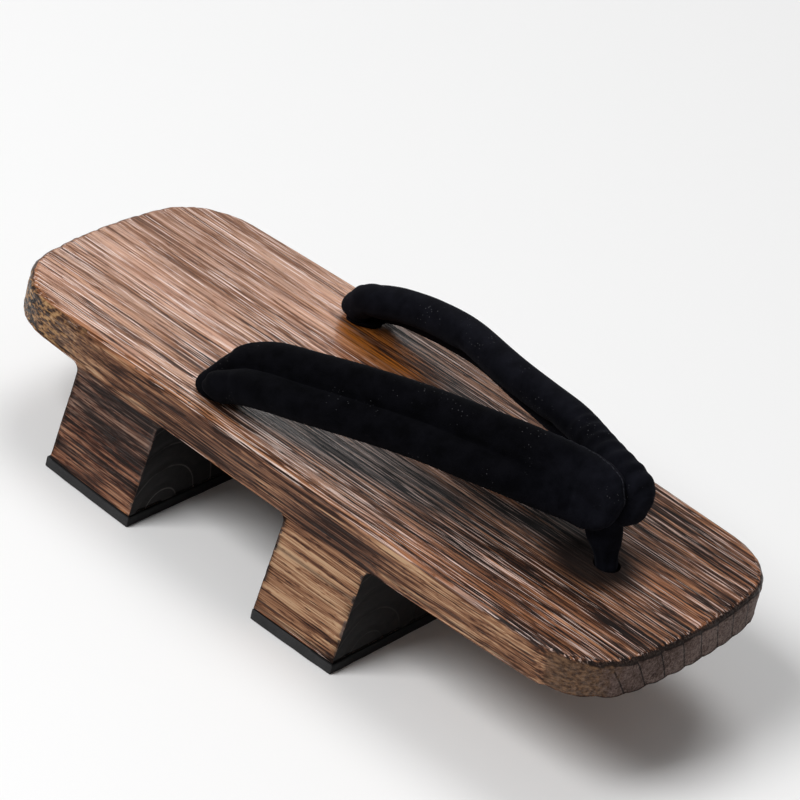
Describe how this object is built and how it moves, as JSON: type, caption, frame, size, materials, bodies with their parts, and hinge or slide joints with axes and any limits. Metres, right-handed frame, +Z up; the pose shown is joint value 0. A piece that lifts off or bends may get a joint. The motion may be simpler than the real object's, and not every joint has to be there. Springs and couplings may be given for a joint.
{
  "type": "geta sandal",
  "caption": "Flat wooden geta sandal on cross teeth with rubber pads and black padded V-shaped thong straps, standing empty, for either foot.",
  "frame": {"origin": "on the floor, under the middle of the sandal's overall length and width", "axes": "+Y from heel to toe, +X towards the wearer's right, +Z up from the floor"},
  "size_m": [0.1188, 0.265, 0.0908],
  "materials": {
    "wood": "burnt, brushed and varnished softwood",
    "rubber": "matt charcoal",
    "velvet": "black velvet over soft padding"
  },
  "bodies": {
    "root": {"wood_body": "wood", "pad_heel": "rubber", "pad_front": "rubber", "straps": "velvet", "thong": "velvet"}
  },
  "joints": []
}
